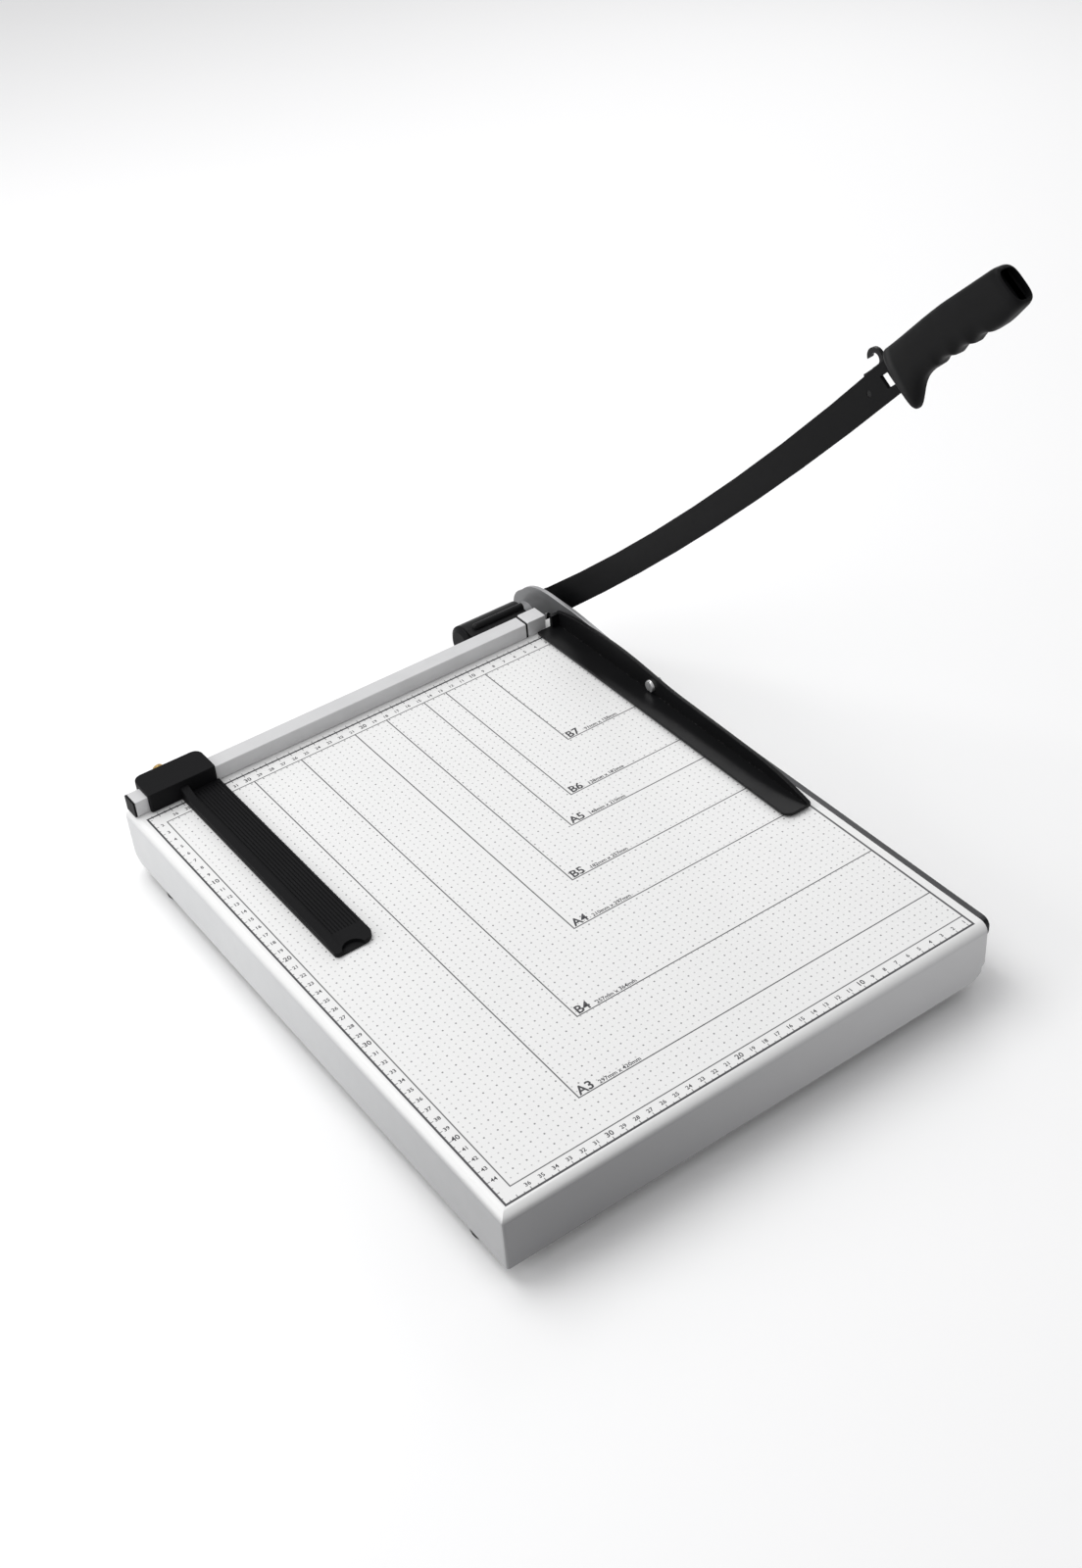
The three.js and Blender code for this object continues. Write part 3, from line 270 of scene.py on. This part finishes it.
# The grip's own sizes, in millimetres along the arm and above its pivot line.
grip = {
    "open": 42,                                      # the arm's angle at rest
    "from": 537.5, "to": 660, "middle": 6.15, "halfWidth": 8.0, "split": 0.1, "tilt": 5.0,
    "noseWidth": 5.6, "noseLength": 12,
    "topFrom": 21.0, "topTo": 24.6, "low": -4.2, "groove": 1.9, "grooves": (577, 17.5, 3),
    "guardAt": 543.5, "guardDrop": 14.6, "guardFront": 3.8, "guardRear": 14.0,
    "endRound": 8.0, "squareness": 3.4, "recess": 4.0, "ringPoints": 40, "stations": 150,
}


# Finishes.

def floorFinish(colour):
    finish = Finish("floor")
    cloud = finish.noise(1.5)
    tone = finish.mix(cloud, colour, tuple(c * 0.985 for c in colour))
    return finish.set(Base_Color=tone, Roughness=0.9, Specular_IOR_Level=0.15)


# Printed scales, in millimetres from the cutting edge (to the left) and from the fence (to the front).
print2d = {
    "left": 379, "leftInner": 369, "right": 6.5,
    "rear": 7, "rearInner": 18.5, "front": 460, "frontInner": 450,
    "heavy": 0.75, "fine": 0.45, "soft": 0.18,
    "dotPitch": 5, "dotRadius": 0.56,
    "sizes": {"B7": (91, 128), "B6": (128, 182), "A5": (148, 210), "B5": (182, 257),
              "A4": (210, 297), "B4": (257, 364), "A3": (297, 420)},
}


def printMask(finish, x, y, z):
    # x and y run left from the cutting edge and forward from the fence, in millimetres
    layout = print2d
    soft = layout["soft"]

    def frameLine(near, far, rear, front, half):
        # a rectangle's outline: the larger of the two distances past its sides is 0 on it
        acrossX = abs(x - (near + far) / 2) - (far - near) / 2
        acrossY = abs(y - (rear + front) / 2) - (front - rear) / 2
        return acrossX.most(acrossY).within(half, soft)

    outer = frameLine(layout["right"], layout["left"], layout["rear"], layout["front"], layout["heavy"])
    inner = frameLine(layout["right"], layout["leftInner"], layout["rearInner"], layout["frontInner"],
                      layout["fine"])

    marks = inner * 0.8
    for width, length in layout["sizes"].values():
        corner = (x - width).most(y - length)
        marks = marks.most(corner.within(layout["fine"], soft) * 0.95)
    inside = x.rise(layout["right"], layout["right"] + 0.1)
    inside = inside * y.rise(layout["rearInner"] - 0.1, layout["rearInner"])
    inside = inside * (1 - x.rise(layout["leftInner"], layout["leftInner"] + 0.3))
    inside = inside * (1 - y.rise(layout["frontInner"], layout["frontInner"] + 0.3))

    def dots(pitch, radius):
        # distance to the nearest crossing of a square grid
        dx = x.maths("PINGPONG", pitch / 2)
        dy = y.maths("PINGPONG", pitch / 2)
        return 1 - (dx * dx + dy * dy).maths("SQRT").rise(radius - 0.2, radius + 0.2)

    grid = (dots(layout["dotPitch"], layout["dotRadius"]) * 0.45).most(
        dots(2 * layout["dotPitch"], layout["dotRadius"] * 1.15) * 0.75)
    artwork = marks.most(grid) * inside

    # ticks every 10 mm in the rulers, short ones every 5 mm
    band = frameTicks(finish, x, y, layout)
    artwork = artwork.most(inner * 0.9).most(outer).most(band * 0.85)
    return artwork * z.rise(-0.6, -0.2)


def frameTicks(finish, x, y, layout):
    halfTick, soft = 0.28, 0.12
    tens = x.maths("PINGPONG", 5).within(halfTick, soft)
    fives = x.maths("PINGPONG", 2.5).within(halfTick, soft)
    downTens = y.maths("PINGPONG", 5).within(halfTick, soft)
    downFives = y.maths("PINGPONG", 2.5).within(halfTick, soft)
    fromRear = abs(y - layout["rear"])
    fromFront = layout["front"] - y
    fromLeft = layout["left"] - x
    span = x.rise(layout["right"], layout["right"] + 1) * (1 - x.rise(layout["left"] - 1, layout["left"]))
    depth = y.rise(layout["rear"], layout["rear"] + 1) * (1 - y.rise(layout["front"] - 1, layout["front"]))
    rear = (tens * fromRear.within(2.8, 0.1)).most(fives * fromRear.within(1.6, 0.1)) * span
    front = (tens * fromFront.within(2.6, 0.1)).most(fives * fromFront.within(1.6, 0.1)) * span
    left = (downTens * fromLeft.within(2.6, 0.1)).most(downFives * fromLeft.within(1.6, 0.1)) * depth
    front = front * fromFront.rise(-0.1, 0)
    left = left * fromLeft.rise(-0.1, 0)
    return rear.most(front).most(left)


enamel = {
    # the skirt tone is greyer than the top partly as its own paint and partly as painted shade; front and
    # corner are painted-shade copies of it
    "top": (0.80, 0.80, 0.795), "skirt": (0.56, 0.565, 0.57),
    "front": (0.50, 0.50, 0.505), "corner": (0.22, 0.22, 0.225),
    "ink": (0.045, 0.045, 0.05), "roughness": 0.36,
}


def enamelFinish():
    # light enamel: printed white top, greyer satin skirts (partly their own paint, partly painted shade),
    # painted shade on the front skirt and towards the near corner, faint clouding and an orange-peel skin
    finish = Finish("bed_enamel")
    x, y, z = finish.axes()
    left, front = -x, -y
    cloud = finish.noise(14, 4)
    top = finish.mix(cloud, enamel["top"], tuple(c * 0.965 for c in enamel["top"]))
    skirt = finish.mix(cloud, enamel["skirt"], tuple(c * 0.93 for c in enamel["skirt"]))
    # light fall-off towards the near corner, laid into the paint's tone: the real sheet is one colour
    skirt = finish.mix(front.rise(120, 470) * 0.6, skirt, enamel["corner"])
    # painted shade: skirt faces that look to the front take the darker front tone, falling to the corner
    # tone towards the left
    ahead = finish.facing((0, -1, 0)).rise(0.3, 0.8)
    skirt = finish.mix(ahead, skirt, finish.mix(left.rise(0, 380), enamel["front"], enamel["corner"]))
    height = z.rise(-6.5, -1.2)
    paint = finish.mix(height, skirt, top)
    scuff = finish.noise(900, 2, (1, 0.2, 1)).rise(0.66, 0.78) * z.rise(-44, -46) * 0.5
    paint = finish.mix(scuff, paint, (0.35, 0.35, 0.36))
    colour = finish.mix(printMask(finish, left, front, z), paint, enamel["ink"])
    roughness = finish.noise(60) * 0.16 + (enamel["roughness"] - 0.08)
    peel = finish.bump(finish.noise(1400, 2), 0.00004, 0.35)
    return finish.set(Base_Color=colour, Roughness=roughness, Metallic=0.0, Coat_Weight=0.0, Normal=peel,
                      Specular_IOR_Level=0.5)


def inkFinish():
    finish = Finish("print_ink")
    worn = finish.noise(700, 3).rise(0.35, 0.75)
    return finish.set(Base_Color=finish.mix(worn, (0.025, 0.025, 0.03), (0.06, 0.06, 0.065)), Roughness=0.5)


def metalFinish(name, colour, roughness, metallic=1.0, grain=(1, 1, 1), streak=0.12, tarnish=0.85,
                bumpDepth=0.00002):
    # rolled or turned metal: streaks along the grain, some brighter, and slow tarnish patches
    finish = Finish(name)
    lines = finish.noise(1600, 3, grain)
    patches = finish.noise(45, 4)
    dull = tuple(c * tarnish for c in colour)
    bright = tuple(min(1.0, c * 1.12 + 0.02) for c in colour)
    tone = finish.mix(patches.rise(0.35, 0.7), colour, dull)
    tone = finish.mix(lines * streak * 2, tone, bright)
    rough = lines * streak + patches * 0.1 + (roughness - streak / 2 - 0.05)
    return finish.set(Base_Color=tone, Metallic=metallic, Roughness=rough,
                      Normal=finish.bump(lines, bumpDepth, 0.3))


def knifeFinish():
    # blackened plate with a bright ground cutting edge along its top
    finish = Finish("knife_steel")
    x, y, z = finish.axes()
    grind = finish.noise(2600, 2, (0.3, 1, 0.1))
    edge = z.rise(-1.1, -0.7)
    dark = finish.mix(finish.noise(60, 4), (0.014, 0.014, 0.015), (0.028, 0.028, 0.03))
    bright = finish.mix(grind, (0.30, 0.30, 0.31), (0.46, 0.46, 0.47))
    tone = finish.mix(edge * 0.12, dark, bright)
    return finish.set(Base_Color=tone, Metallic=0.7, Roughness=grind * 0.15 + 0.3, Specular_IOR_Level=0.3,
                      Normal=finish.bump(grind, 0.00002, 0.3))


def paintFinish(name, colour, roughness, coat=0.04, peel=0.3, wear=0.4):
    # satin black paint: slow tone drift, orange peel, a little bare metal on the edges
    finish = Finish(name)
    drift = finish.noise(18, 3)
    rub = finish.edges(0.0006) * finish.noise(420, 3).rise(0.5, 0.68) * wear
    tone = finish.mix(drift, colour, tuple(c * 1.5 + 0.003 for c in colour))
    tone = finish.mix(rub, tone, (0.22, 0.22, 0.225))
    rough = finish.noise(90, 3) * 0.14 + (roughness - 0.07) + rub * 0.1
    return finish.set(Base_Color=tone, Roughness=rough, Coat_Weight=coat, Coat_Roughness=0.2,
                      Specular_IOR_Level=0.14, Normal=finish.bump(finish.noise(1700, 2), 0.00003, peel))


def armFinish():
    # the blade's black paint, with the sharpened bevel ground bare
    finish = Finish("blade_black")
    openTurn = math.radians(grip["open"])
    # the bevel falls away over 4 mm while the plate thins by 1.7 mm
    slant = math.atan2(1.7, 4.0)
    slope = (math.cos(slant), -math.sin(slant) * math.sin(openTurn), -math.sin(slant) * math.cos(openTurn))
    bevel = finish.facing(slope).rise(0.96, 0.985)
    drift = finish.noise(9, 3)
    lines = finish.noise(1900, 2, (1, 0.08, 0.08))
    paint = finish.mix(drift, (0.0025, 0.0025, 0.003), (0.005, 0.005, 0.0055))
    ground = finish.mix(finish.noise(2500, 2), (0.42, 0.42, 0.43), (0.58, 0.58, 0.59))
    tone = finish.mix(bevel, paint, ground)
    return finish.set(Base_Color=tone, Metallic=bevel * 0.95, Roughness=lines * 0.1 + 0.3 + drift * 0.08,
                      Specular_IOR_Level=0.06, Normal=finish.bump(lines, 0.00002, 0.25))


def plasticFinish(name, colour, roughness, grain=2600, depth=0.00005):
    # moulded plastic: spark-eroded grain, slightly shinier where it is handled
    finish = Finish(name)
    texture = finish.noise(grain, 3, rough=0.6)
    handled = finish.noise(26, 3)
    tone = finish.mix(texture * 0.5 + handled * 0.5, colour, tuple(c * 1.55 + 0.003 for c in colour))
    rough = texture * 0.1 + handled * 0.16 + (roughness - 0.13)
    return finish.set(Base_Color=tone, Roughness=rough, Specular_IOR_Level=0.07,
                      Normal=finish.bump(texture, depth, 0.5))


def rubberFinish():
    finish = Finish("rubber")
    bloom = finish.noise(140, 4).rise(0.45, 0.75)
    tone = finish.mix(bloom, (0.014, 0.014, 0.014), (0.035, 0.035, 0.034))
    return finish.set(Base_Color=tone, Roughness=bloom * 0.12 + 0.74,
                      Normal=finish.bump(finish.noise(2100, 3), 0.00006, 0.5))


def leverFinish():
    # plain rolled steel, bluish grey, darker towards the shoe, with a painted highlight on its upward faces
    finish = Finish("lever_steel")
    x, y, z = finish.axes()
    # the lever is made darker towards the shoe end, in front of the fence
    darker_towards_shoe = 1 - y.rise(-75, 35)
    streaks = finish.noise(1300, 3, (1, 0.06, 0.4))
    steel = finish.mix(streaks, (0.155, 0.157, 0.16), (0.21, 0.212, 0.216))
    tone = finish.mix(darker_towards_shoe * 0.85, steel, (0.03, 0.03, 0.032))
    # painted highlight: faces that look upward are painted a lighter grey
    upward_painted_highlight = finish.facing((0, 0, 1)).rise(0.55, 0.95)
    tone = finish.mix(upward_painted_highlight * 0.6, tone, (0.5, 0.5, 0.51))
    return finish.set(Base_Color=tone, Metallic=0.45, Roughness=streaks * 0.14 + 0.33,
                      Normal=finish.bump(streaks, 0.00002, 0.3))


finishes = {
    "painted_steel": enamelFinish(),
    "zinc_steel": metalFinish("zinc_steel", (0.52, 0.53, 0.54), 0.36),
    "knife_steel": knifeFinish(),
    "anodised_aluminium": metalFinish("anodised_aluminium", (0.62, 0.62, 0.625), 0.42, 0.25, (0.04, 1, 1),
                                      0.1, 0.95),
    "black_plastic": plasticFinish("black_plastic", (0.0045, 0.0045, 0.005), 0.5),
    "black_steel": paintFinish("black_steel", (0.003, 0.003, 0.0034), 0.34),
    "lever_steel": leverFinish(),
    "bright_chrome": metalFinish("bright_chrome", (0.78, 0.78, 0.785), 0.45, 1.0, (1, 1, 1), 0.05, 0.94),
    "brass": metalFinish("brass", (0.72, 0.50, 0.20), 0.27, 1.0, (1, 0.1, 1), 0.1, 0.8),
    "rubber": rubberFinish(),
    "spring_steel": metalFinish("spring_steel", (0.36, 0.37, 0.38), 0.3),
}
armBlack = armFinish()
gripBlack = plasticFinish("grip_plastic", (0.0035, 0.0035, 0.0038), 0.44, 3000, 0.00004)
ink = inkFinish()
print("finishes made:", len(finishes) + 3)


# Pieces.

def addPiece(name, mesh, body, material, replaced=()):
    piece = bpy.data.objects.new(name, mesh)
    bpy.context.scene.collection.objects.link(piece)
    mesh.materials.clear()
    mesh.materials.append(material)
    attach(piece, body)
    if replaced:
        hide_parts(*replaced)
    return piece


def roundEdges(piece, width, steps=2, limit=35):
    # every crisp edge gets a small round, and flat faces keep flat shading
    bevel = piece.modifiers.new("edgeRound", "BEVEL")
    bevel.width = width
    bevel.segments = steps
    bevel.limit_method = "ANGLE"
    bevel.angle_limit = math.radians(limit)
    weights = piece.modifiers.new("flatFaces", "WEIGHTED_NORMAL")
    weights.keep_sharp = True


def cleanCopy(node):
    # the node's loose triangles merged into whole faces, with its crisp edges marked
    mesh = nodes[node].data.copy()
    work = bmesh.new()
    work.from_mesh(mesh)
    bmesh.ops.remove_doubles(work, verts=work.verts, dist=0.000004)
    bmesh.ops.dissolve_limit(work, angle_limit=math.radians(0.6), verts=work.verts, edges=work.edges)
    work.to_mesh(mesh)
    work.free()
    mesh.polygons.foreach_set("use_smooth", [True] * len(mesh.polygons))
    mesh.set_sharp_from_angle(angle=math.radians(35))
    return mesh


# Edge rounds in millimetres. A node not named here takes the small one.
edgeRounds = {"base_pan": 0.35, "blade_arm": 0.3, "clamp_lever": 0.35, "pressure_shoe": 0.35,
              "bed_knife": 0.3,
              "hinge_bracket": 0.5, "bracket_cap": 0.6, "stop_body": 0.35, "fence_bar": 0.3,
              "fence_left_cap": 0.35, "fence_right_cap": 0.35, "fence_end_block": 0.3, "safety_hook": 0.3,
              "lock_link": 0.3, "stop_lock_screw": 0.15}
smallRound = 0.12
special = {"blade_arm": armBlack}
gripNodes = ("handle_left", "handle_right")

for node in nodes:
    if node in gripNodes:
        continue
    material = special.get(node, finishes[slotOf[node]])
    skin = addPiece(node + "_skin", cleanCopy(node), bodyOf[node], material, (node,))
    roundEdges(skin, edgeRounds.get(node, smallRound) * mm)
print("pieces finished:", len(nodes) - len(gripNodes))


# Grip: two moulded shells.



armPivot = next(joint for joint in frame["record"]["behaviour"]["joints"] if joint["name"] == "arm_swing")
pivotY, pivotZ = armPivot["pos_m"][1:]


def smooth(t):
    t = np.clip(t, 0, 1)
    return t * t * (3 - 2 * t)


def gripProfile(along, guarded):
    # the grip's upper and lower lines over its length: a straight back, finger grooves and the guard lobe
    top = grip["topFrom"] + (grip["topTo"] - grip["topFrom"]) * smooth((along - grip["from"]) / 70)
    start, pitch, count = grip["grooves"]
    phase = (along - start) / pitch
    inGrooves = (phase > 0) & (phase < count)
    wave = np.where(inGrooves, np.abs(np.sin(np.pi * phase)) ** 1.2, 0)
    low = grip["low"] + grip["groove"] * wave * smooth((along - start) / 4)
    low = low + 2.7 * smooth((along - grip["to"] + 24) / 24)
    if guarded:
        ahead = along < grip["guardAt"]
        reach = np.where(ahead, grip["guardFront"], grip["guardRear"])
        low = low - grip["guardDrop"] * np.exp(-np.abs((along - grip["guardAt"]) / reach) ** 2.0)
    return top, low


def gripShell(side, guarded):
    # A half superellipse |x/a|^n + |z/b|^n = 1 carried along the grip, closed by the flat split face,
    # drawn in at both ends by a quarter round, then turned about the arm's pivot.
    first = grip["from"] + (0 if guarded else 1.5)
    last = grip["to"]
    t = (1 - np.cos(np.linspace(0, np.pi, grip["stations"]))) / 2
    along = first + (last - first) * (0.5 * t + 0.5 * np.linspace(0, 1, grip["stations"]))
    top, low = gripProfile(along, guarded)
    tail = np.clip((along - (last - grip["endRound"])) / grip["endRound"], 0, 1)
    nose = np.clip(((first + 4) - along) / 4, 0, 1)
    tailRound = 1 - np.sqrt(1 - 0.999 * tail ** 2.6)
    noseRound = 1 - np.sqrt(1 - 0.999 * nose ** 2)
    middle = (top + low) / 2
    half = (top - low) / 2 * (1 - 0.2 * tailRound - 0.22 * noseRound)
    taper = smooth((along - first) / grip["noseLength"])
    wide = grip["noseWidth"] + (grip["halfWidth"] - grip["noseWidth"]) * taper
    wide = wide * (1 - 0.2 * tailRound - 0.3 * noseRound)

    angle = np.linspace(-np.pi / 2, np.pi / 2, grip["ringPoints"])
    power = 2 / grip["squareness"]
    ringX = np.abs(np.cos(angle)) ** power
    ringZ = np.sign(np.sin(angle)) * np.abs(np.sin(angle)) ** power
    x = grip["middle"] + side * (grip["split"] + (wide[:, None] - grip["split"]) * ringX[None, :])
    z = middle[:, None] + half[:, None] * ringZ[None, :]
    # the butt leans: its top ends sooner than its underside
    lean = grip["tilt"] * smooth((along - last + 30) / 30)
    s = along[:, None] - lean[:, None] * (0.5 + 0.5 * ringZ[None, :])

    # the butt: a rim, then a sunk face
    butt = []
    deep = grip["recess"]
    for inset, depth in ((0.98, -0.2), (0.93, -0.2), (0.91, deep), (0.40, deep), (0.02, deep)):
        bx = grip["middle"] + side * (grip["split"] + (wide[-1] - grip["split"]) * ringX * inset)
        bz = middle[-1] + half[-1] * ringZ * inset
        butt.append((bx, last - depth - grip["tilt"] * (0.5 + 0.5 * ringZ * inset), bz))
    # the nose: drawn straight in to the tang
    noseRows = []
    for inset in (0.55, 0.02):
        nx = grip["middle"] + side * (grip["split"] + (wide[0] - grip["split"]) * ringX * inset)
        nz = middle[0] + half[0] * ringZ * inset
        noseRows.append((nx, np.full_like(nx, along[0] + 0.2), nz))
    rows = noseRows[::-1] + list(zip(x, s, z)) + butt
    grid = np.stack([np.stack(row, axis=1) for row in rows])          # rows, points, (x, along, rise)
    return grid


def gridMesh(name, grid, flip):
    # quads between rows and round each ring, the last point joined to the first, with both end rows closed
    rows, points = grid.shape[:2]
    turn = math.radians(grip["open"])
    along, rise = -grid[..., 1] * mm, grid[..., 2] * mm
    # turned about the pivot's X axis, so that the grip lies where the open arm holds it
    y = pivotY + along * math.cos(turn) + rise * math.sin(turn)
    z = pivotZ - along * math.sin(turn) + rise * math.cos(turn)
    x = grid[..., 0] * mm + cutX
    verts = np.stack([x, y, z], axis=-1).reshape(-1, 3)
    i, j = np.meshgrid(np.arange(rows - 1), np.arange(points), indexing="ij")
    k = (j + 1) % points
    quads = np.stack([i * points + j, i * points + k, (i + 1) * points + k, (i + 1) * points + j], axis=-1)
    faces = quads.reshape(-1, 4)
    if flip:
        faces = faces[:, ::-1]
    mesh = bpy.data.meshes.new(name)
    mesh.from_pydata(verts.tolist(), [], faces.tolist())
    work = bmesh.new()
    work.from_mesh(mesh)
    bmesh.ops.holes_fill(work, edges=work.edges, sides=0)
    bmesh.ops.remove_doubles(work, verts=work.verts, dist=0.000002)
    bmesh.ops.recalc_face_normals(work, faces=work.faces)
    work.to_mesh(mesh)
    work.free()
    mesh.polygons.foreach_set("use_smooth", [True] * len(mesh.polygons))
    mesh.set_sharp_from_angle(angle=math.radians(40))
    return mesh


for node, side, guarded in (("handle_left", -1, True), ("handle_right", 1, False)):
    addPiece(node + "_shell", gridMesh(node + "_shell", gripShell(side, guarded), side > 0),
             bodyOf[node], gripBlack, (node,))
print("grip shells made")


# Printed numerals and size labels.

lettering = {"numeral": 3.0, "tens": 4.0, "label": 7.2, "small": 3.2, "thick": 0.03, "sink": 0.01}


def inkText(work, text, x, y, size, align="CENTER"):
    # one line of lettering, laid flat at x, y (millimetres left of the edge and in front of the fence)
    curve = bpy.data.curves.new("line", "FONT")
    curve.body = text
    curve.size = size * mm * 1.4
    curve.align_x = align
    curve.offset = size * mm * 0.03
    curve.extrude = lettering["thick"] * mm / 2
    curve.resolution_u = 2
    holder = bpy.data.objects.new("line", curve)
    bpy.context.scene.collection.objects.link(holder)
    bpy.context.view_layer.update()
    mesh = bpy.data.meshes.new_from_object(holder)
    lift = (lettering["thick"] / 2 - lettering["sink"]) * mm
    mesh.transform(Matrix.Translation(bench(-x, -y, 0) + Vector((0, 0, lift))))
    work.from_mesh(mesh)
    bpy.data.objects.remove(holder)
    bpy.data.meshes.remove(mesh)
    bpy.data.curves.remove(curve)


def printedText():
    layout = print2d
    work = bmesh.new()
    for n in range(1, 37):
        size = lettering["tens"] if n % 10 == 0 else lettering["numeral"]
        inkText(work, str(n), 10 * n, 15.6, size)
        inkText(work, str(n), 10 * n, layout["front"] - 3.8, size)
    for n in range(2, 45):
        size = lettering["tens"] if n % 10 == 0 else lettering["numeral"]
        inkText(work, str(n), layout["left"] - 5.6, 10 * n + 1.2, size)
    for name, (width, length) in layout["sizes"].items():
        inkText(work, name, width - 2, length - 1.2, lettering["label"], "LEFT")
        inkText(work, f"{width}mm x {length}mm", width - 17, length - 1.2, lettering["small"], "LEFT")
    bmesh.ops.remove_doubles(work, verts=work.verts, dist=0.0000005)
    mesh = bpy.data.meshes.new("printed_scales")
    work.to_mesh(mesh)
    work.free()
    return mesh


scales = addPiece("printed_scales", printedText(), "base", ink)
print("printed scales:", len(scales.data.polygons), "faces")


# Camera, studio and the end.

placeCamera(cameraSetup)
buildStudio(studio)
print("studio ready")
